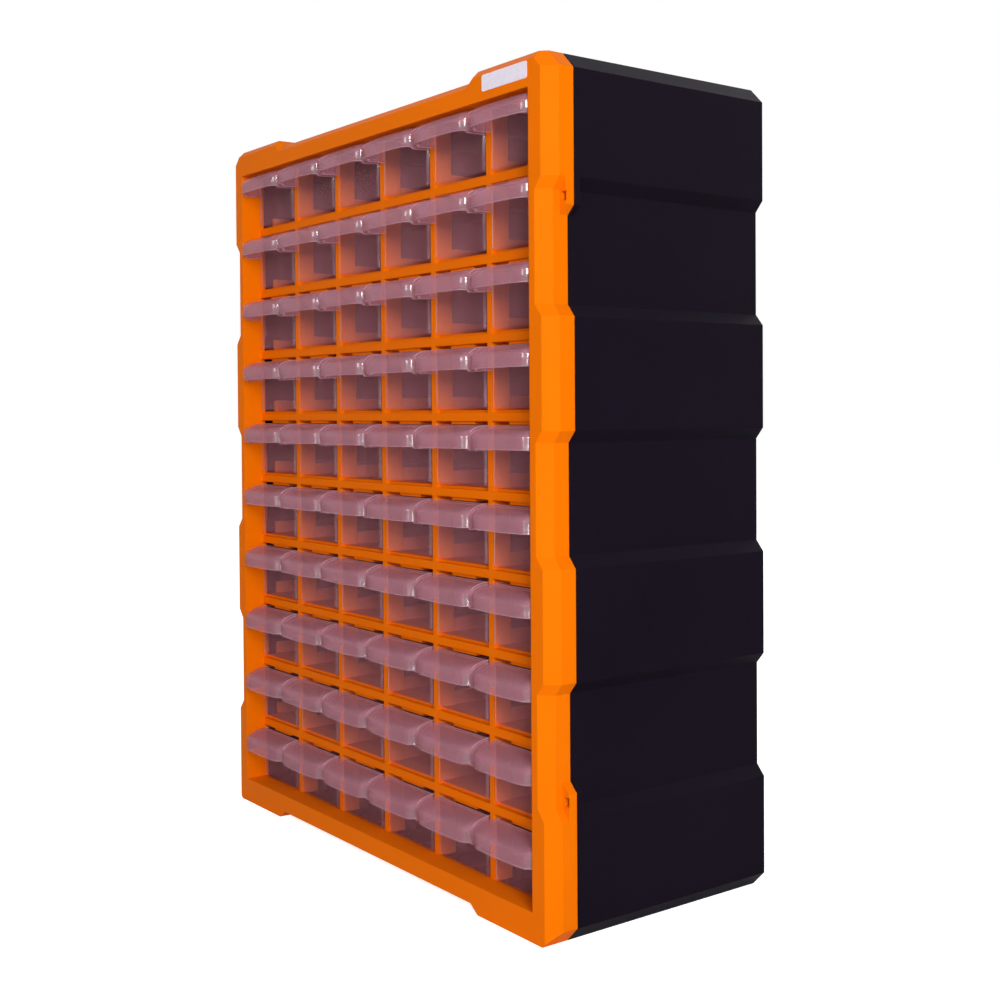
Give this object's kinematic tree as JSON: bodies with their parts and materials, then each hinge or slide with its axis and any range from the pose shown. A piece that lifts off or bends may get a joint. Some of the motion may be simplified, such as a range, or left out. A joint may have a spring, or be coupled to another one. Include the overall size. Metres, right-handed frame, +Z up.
{
  "type": "parts cabinet",
  "caption": "Upright small-parts cabinet: a deep front frame with a grid of frosted pull-out drawers in a closed dark casing with stepped sides.",
  "frame": {"origin": "centre of the footprint, on the plane the feet stand on", "axes": "+Z up, drawers open towards -Y, +X to the right seen from the front"},
  "size_m": [0.38, 0.166, 0.478],
  "materials": {
    "orange_plastic": "satin moulded polypropylene",
    "black_plastic": "satin moulded polypropylene",
    "frosted_plastic": "frosted see-through polypropylene",
    "label": "matt"
  },
  "bodies": {
    "cabinet": {"front_frame": "orange_plastic", "rear_casing": "black_plastic", "name_plate": "label"},
    "drawer_row1_col1": {"drawer_row1_col1": "frosted_plastic"},
    "drawer_row1_col2": {"drawer_row1_col2": "frosted_plastic"},
    "drawer_row1_col3": {"drawer_row1_col3": "frosted_plastic"},
    "drawer_row1_col4": {"drawer_row1_col4": "frosted_plastic"},
    "drawer_row1_col5": {"drawer_row1_col5": "frosted_plastic"},
    "drawer_row1_col6": {"drawer_row1_col6": "frosted_plastic"},
    "drawer_row2_col1": {"drawer_row2_col1": "frosted_plastic"},
    "drawer_row2_col2": {"drawer_row2_col2": "frosted_plastic"},
    "drawer_row2_col3": {"drawer_row2_col3": "frosted_plastic"},
    "drawer_row2_col4": {"drawer_row2_col4": "frosted_plastic"},
    "drawer_row2_col5": {"drawer_row2_col5": "frosted_plastic"},
    "drawer_row2_col6": {"drawer_row2_col6": "frosted_plastic"},
    "drawer_row3_col1": {"drawer_row3_col1": "frosted_plastic"},
    "drawer_row3_col2": {"drawer_row3_col2": "frosted_plastic"},
    "drawer_row3_col3": {"drawer_row3_col3": "frosted_plastic"},
    "drawer_row3_col4": {"drawer_row3_col4": "frosted_plastic"},
    "drawer_row3_col5": {"drawer_row3_col5": "frosted_plastic"},
    "drawer_row3_col6": {"drawer_row3_col6": "frosted_plastic"},
    "drawer_row4_col1": {"drawer_row4_col1": "frosted_plastic"},
    "drawer_row4_col2": {"drawer_row4_col2": "frosted_plastic"},
    "drawer_row4_col3": {"drawer_row4_col3": "frosted_plastic"},
    "drawer_row4_col4": {"drawer_row4_col4": "frosted_plastic"},
    "drawer_row4_col5": {"drawer_row4_col5": "frosted_plastic"},
    "drawer_row4_col6": {"drawer_row4_col6": "frosted_plastic"},
    "drawer_row5_col1": {"drawer_row5_col1": "frosted_plastic"},
    "drawer_row5_col2": {"drawer_row5_col2": "frosted_plastic"},
    "drawer_row5_col3": {"drawer_row5_col3": "frosted_plastic"},
    "drawer_row5_col4": {"drawer_row5_col4": "frosted_plastic"},
    "drawer_row5_col5": {"drawer_row5_col5": "frosted_plastic"},
    "drawer_row5_col6": {"drawer_row5_col6": "frosted_plastic"},
    "drawer_row6_col1": {"drawer_row6_col1": "frosted_plastic"},
    "drawer_row6_col2": {"drawer_row6_col2": "frosted_plastic"},
    "drawer_row6_col3": {"drawer_row6_col3": "frosted_plastic"},
    "drawer_row6_col4": {"drawer_row6_col4": "frosted_plastic"},
    "drawer_row6_col5": {"drawer_row6_col5": "frosted_plastic"},
    "drawer_row6_col6": {"drawer_row6_col6": "frosted_plastic"},
    "drawer_row7_col1": {"drawer_row7_col1": "frosted_plastic"},
    "drawer_row7_col2": {"drawer_row7_col2": "frosted_plastic"},
    "drawer_row7_col3": {"drawer_row7_col3": "frosted_plastic"},
    "drawer_row7_col4": {"drawer_row7_col4": "frosted_plastic"},
    "drawer_row7_col5": {"drawer_row7_col5": "frosted_plastic"},
    "drawer_row7_col6": {"drawer_row7_col6": "frosted_plastic"},
    "drawer_row8_col1": {"drawer_row8_col1": "frosted_plastic"},
    "drawer_row8_col2": {"drawer_row8_col2": "frosted_plastic"},
    "drawer_row8_col3": {"drawer_row8_col3": "frosted_plastic"},
    "drawer_row8_col4": {"drawer_row8_col4": "frosted_plastic"},
    "drawer_row8_col5": {"drawer_row8_col5": "frosted_plastic"},
    "drawer_row8_col6": {"drawer_row8_col6": "frosted_plastic"},
    "drawer_row9_col1": {"drawer_row9_col1": "frosted_plastic"},
    "drawer_row9_col2": {"drawer_row9_col2": "frosted_plastic"},
    "drawer_row9_col3": {"drawer_row9_col3": "frosted_plastic"},
    "drawer_row9_col4": {"drawer_row9_col4": "frosted_plastic"},
    "drawer_row9_col5": {"drawer_row9_col5": "frosted_plastic"},
    "drawer_row9_col6": {"drawer_row9_col6": "frosted_plastic"},
    "drawer_row10_col5": {"drawer_row10_col5": "frosted_plastic"},
    "drawer_row10_col6": {"drawer_row10_col6": "frosted_plastic"},
    "drawers_row10_col1_to_col4": {"drawers_row10_col1_to_col4": "frosted_plastic"}
  },
  "joints": [
    {"name": "slide_row1_col1", "type": "slide", "parent": "cabinet", "child": "drawer_row1_col1", "axis": [0, -1, 0], "range_m": [0, 0.1225]},
    {"name": "slide_row1_col2", "type": "slide", "parent": "cabinet", "child": "drawer_row1_col2", "axis": [0, -1, 0], "range_m": [0, 0.1225]},
    {"name": "slide_row1_col3", "type": "slide", "parent": "cabinet", "child": "drawer_row1_col3", "axis": [0, -1, 0], "range_m": [0, 0.1225]},
    {"name": "slide_row1_col4", "type": "slide", "parent": "cabinet", "child": "drawer_row1_col4", "axis": [0, -1, 0], "range_m": [0, 0.1225]},
    {"name": "slide_row1_col5", "type": "slide", "parent": "cabinet", "child": "drawer_row1_col5", "axis": [0, -1, 0], "range_m": [0, 0.1225]},
    {"name": "slide_row1_col6", "type": "slide", "parent": "cabinet", "child": "drawer_row1_col6", "axis": [0, -1, 0], "range_m": [0, 0.1225]},
    {"name": "slide_row2_col1", "type": "slide", "parent": "cabinet", "child": "drawer_row2_col1", "axis": [0, -1, 0], "range_m": [0, 0.1225]},
    {"name": "slide_row2_col2", "type": "slide", "parent": "cabinet", "child": "drawer_row2_col2", "axis": [0, -1, 0], "range_m": [0, 0.1225]},
    {"name": "slide_row2_col3", "type": "slide", "parent": "cabinet", "child": "drawer_row2_col3", "axis": [0, -1, 0], "range_m": [0, 0.1225]},
    {"name": "slide_row2_col4", "type": "slide", "parent": "cabinet", "child": "drawer_row2_col4", "axis": [0, -1, 0], "range_m": [0, 0.1225]},
    {"name": "slide_row2_col5", "type": "slide", "parent": "cabinet", "child": "drawer_row2_col5", "axis": [0, -1, 0], "range_m": [0, 0.1225]},
    {"name": "slide_row2_col6", "type": "slide", "parent": "cabinet", "child": "drawer_row2_col6", "axis": [0, -1, 0], "range_m": [0, 0.1225]},
    {"name": "slide_row3_col1", "type": "slide", "parent": "cabinet", "child": "drawer_row3_col1", "axis": [0, -1, 0], "range_m": [0, 0.1225]},
    {"name": "slide_row3_col2", "type": "slide", "parent": "cabinet", "child": "drawer_row3_col2", "axis": [0, -1, 0], "range_m": [0, 0.1225]},
    {"name": "slide_row3_col3", "type": "slide", "parent": "cabinet", "child": "drawer_row3_col3", "axis": [0, -1, 0], "range_m": [0, 0.1225]},
    {"name": "slide_row3_col4", "type": "slide", "parent": "cabinet", "child": "drawer_row3_col4", "axis": [0, -1, 0], "range_m": [0, 0.1225]},
    {"name": "slide_row3_col5", "type": "slide", "parent": "cabinet", "child": "drawer_row3_col5", "axis": [0, -1, 0], "range_m": [0, 0.1225]},
    {"name": "slide_row3_col6", "type": "slide", "parent": "cabinet", "child": "drawer_row3_col6", "axis": [0, -1, 0], "range_m": [0, 0.1225]},
    {"name": "slide_row4_col1", "type": "slide", "parent": "cabinet", "child": "drawer_row4_col1", "axis": [0, -1, 0], "range_m": [0, 0.1225]},
    {"name": "slide_row4_col2", "type": "slide", "parent": "cabinet", "child": "drawer_row4_col2", "axis": [0, -1, 0], "range_m": [0, 0.1225]},
    {"name": "slide_row4_col3", "type": "slide", "parent": "cabinet", "child": "drawer_row4_col3", "axis": [0, -1, 0], "range_m": [0, 0.1225]},
    {"name": "slide_row4_col4", "type": "slide", "parent": "cabinet", "child": "drawer_row4_col4", "axis": [0, -1, 0], "range_m": [0, 0.1225]},
    {"name": "slide_row4_col5", "type": "slide", "parent": "cabinet", "child": "drawer_row4_col5", "axis": [0, -1, 0], "range_m": [0, 0.1225]},
    {"name": "slide_row4_col6", "type": "slide", "parent": "cabinet", "child": "drawer_row4_col6", "axis": [0, -1, 0], "range_m": [0, 0.1225]},
    {"name": "slide_row5_col1", "type": "slide", "parent": "cabinet", "child": "drawer_row5_col1", "axis": [0, -1, 0], "range_m": [0, 0.1225]},
    {"name": "slide_row5_col2", "type": "slide", "parent": "cabinet", "child": "drawer_row5_col2", "axis": [0, -1, 0], "range_m": [0, 0.1225]},
    {"name": "slide_row5_col3", "type": "slide", "parent": "cabinet", "child": "drawer_row5_col3", "axis": [0, -1, 0], "range_m": [0, 0.1225]},
    {"name": "slide_row5_col4", "type": "slide", "parent": "cabinet", "child": "drawer_row5_col4", "axis": [0, -1, 0], "range_m": [0, 0.1225]},
    {"name": "slide_row5_col5", "type": "slide", "parent": "cabinet", "child": "drawer_row5_col5", "axis": [0, -1, 0], "range_m": [0, 0.1225]},
    {"name": "slide_row5_col6", "type": "slide", "parent": "cabinet", "child": "drawer_row5_col6", "axis": [0, -1, 0], "range_m": [0, 0.1225]},
    {"name": "slide_row6_col1", "type": "slide", "parent": "cabinet", "child": "drawer_row6_col1", "axis": [0, -1, 0], "range_m": [0, 0.1225]},
    {"name": "slide_row6_col2", "type": "slide", "parent": "cabinet", "child": "drawer_row6_col2", "axis": [0, -1, 0], "range_m": [0, 0.1225]},
    {"name": "slide_row6_col3", "type": "slide", "parent": "cabinet", "child": "drawer_row6_col3", "axis": [0, -1, 0], "range_m": [0, 0.1225]},
    {"name": "slide_row6_col4", "type": "slide", "parent": "cabinet", "child": "drawer_row6_col4", "axis": [0, -1, 0], "range_m": [0, 0.1225]},
    {"name": "slide_row6_col5", "type": "slide", "parent": "cabinet", "child": "drawer_row6_col5", "axis": [0, -1, 0], "range_m": [0, 0.1225]},
    {"name": "slide_row6_col6", "type": "slide", "parent": "cabinet", "child": "drawer_row6_col6", "axis": [0, -1, 0], "range_m": [0, 0.1225]},
    {"name": "slide_row7_col1", "type": "slide", "parent": "cabinet", "child": "drawer_row7_col1", "axis": [0, -1, 0], "range_m": [0, 0.1225]},
    {"name": "slide_row7_col2", "type": "slide", "parent": "cabinet", "child": "drawer_row7_col2", "axis": [0, -1, 0], "range_m": [0, 0.1225]},
    {"name": "slide_row7_col3", "type": "slide", "parent": "cabinet", "child": "drawer_row7_col3", "axis": [0, -1, 0], "range_m": [0, 0.1225]},
    {"name": "slide_row7_col4", "type": "slide", "parent": "cabinet", "child": "drawer_row7_col4", "axis": [0, -1, 0], "range_m": [0, 0.1225]},
    {"name": "slide_row7_col5", "type": "slide", "parent": "cabinet", "child": "drawer_row7_col5", "axis": [0, -1, 0], "range_m": [0, 0.1225]},
    {"name": "slide_row7_col6", "type": "slide", "parent": "cabinet", "child": "drawer_row7_col6", "axis": [0, -1, 0], "range_m": [0, 0.1225]},
    {"name": "slide_row8_col1", "type": "slide", "parent": "cabinet", "child": "drawer_row8_col1", "axis": [0, -1, 0], "range_m": [0, 0.1225]},
    {"name": "slide_row8_col2", "type": "slide", "parent": "cabinet", "child": "drawer_row8_col2", "axis": [0, -1, 0], "range_m": [0, 0.1225]},
    {"name": "slide_row8_col3", "type": "slide", "parent": "cabinet", "child": "drawer_row8_col3", "axis": [0, -1, 0], "range_m": [0, 0.1225]},
    {"name": "slide_row8_col4", "type": "slide", "parent": "cabinet", "child": "drawer_row8_col4", "axis": [0, -1, 0], "range_m": [0, 0.1225]},
    {"name": "slide_row8_col5", "type": "slide", "parent": "cabinet", "child": "drawer_row8_col5", "axis": [0, -1, 0], "range_m": [0, 0.1225]},
    {"name": "slide_row8_col6", "type": "slide", "parent": "cabinet", "child": "drawer_row8_col6", "axis": [0, -1, 0], "range_m": [0, 0.1225]},
    {"name": "slide_row9_col1", "type": "slide", "parent": "cabinet", "child": "drawer_row9_col1", "axis": [0, -1, 0], "range_m": [0, 0.1225]},
    {"name": "slide_row9_col2", "type": "slide", "parent": "cabinet", "child": "drawer_row9_col2", "axis": [0, -1, 0], "range_m": [0, 0.1225]},
    {"name": "slide_row9_col3", "type": "slide", "parent": "cabinet", "child": "drawer_row9_col3", "axis": [0, -1, 0], "range_m": [0, 0.1225]},
    {"name": "slide_row9_col4", "type": "slide", "parent": "cabinet", "child": "drawer_row9_col4", "axis": [0, -1, 0], "range_m": [0, 0.1225]},
    {"name": "slide_row9_col5", "type": "slide", "parent": "cabinet", "child": "drawer_row9_col5", "axis": [0, -1, 0], "range_m": [0, 0.1225]},
    {"name": "slide_row9_col6", "type": "slide", "parent": "cabinet", "child": "drawer_row9_col6", "axis": [0, -1, 0], "range_m": [0, 0.1225]},
    {"name": "slide_row10_col5", "type": "slide", "parent": "cabinet", "child": "drawer_row10_col5", "axis": [0, -1, 0], "range_m": [0, 0.1225]},
    {"name": "slide_row10_col6", "type": "slide", "parent": "cabinet", "child": "drawer_row10_col6", "axis": [0, -1, 0], "range_m": [0, 0.1225]},
    {"name": "slide_row10_col1_to_col4", "type": "slide", "parent": "cabinet", "child": "drawers_row10_col1_to_col4", "axis": [0, -1, 0], "range_m": [0, 0.1225]}
  ]
}
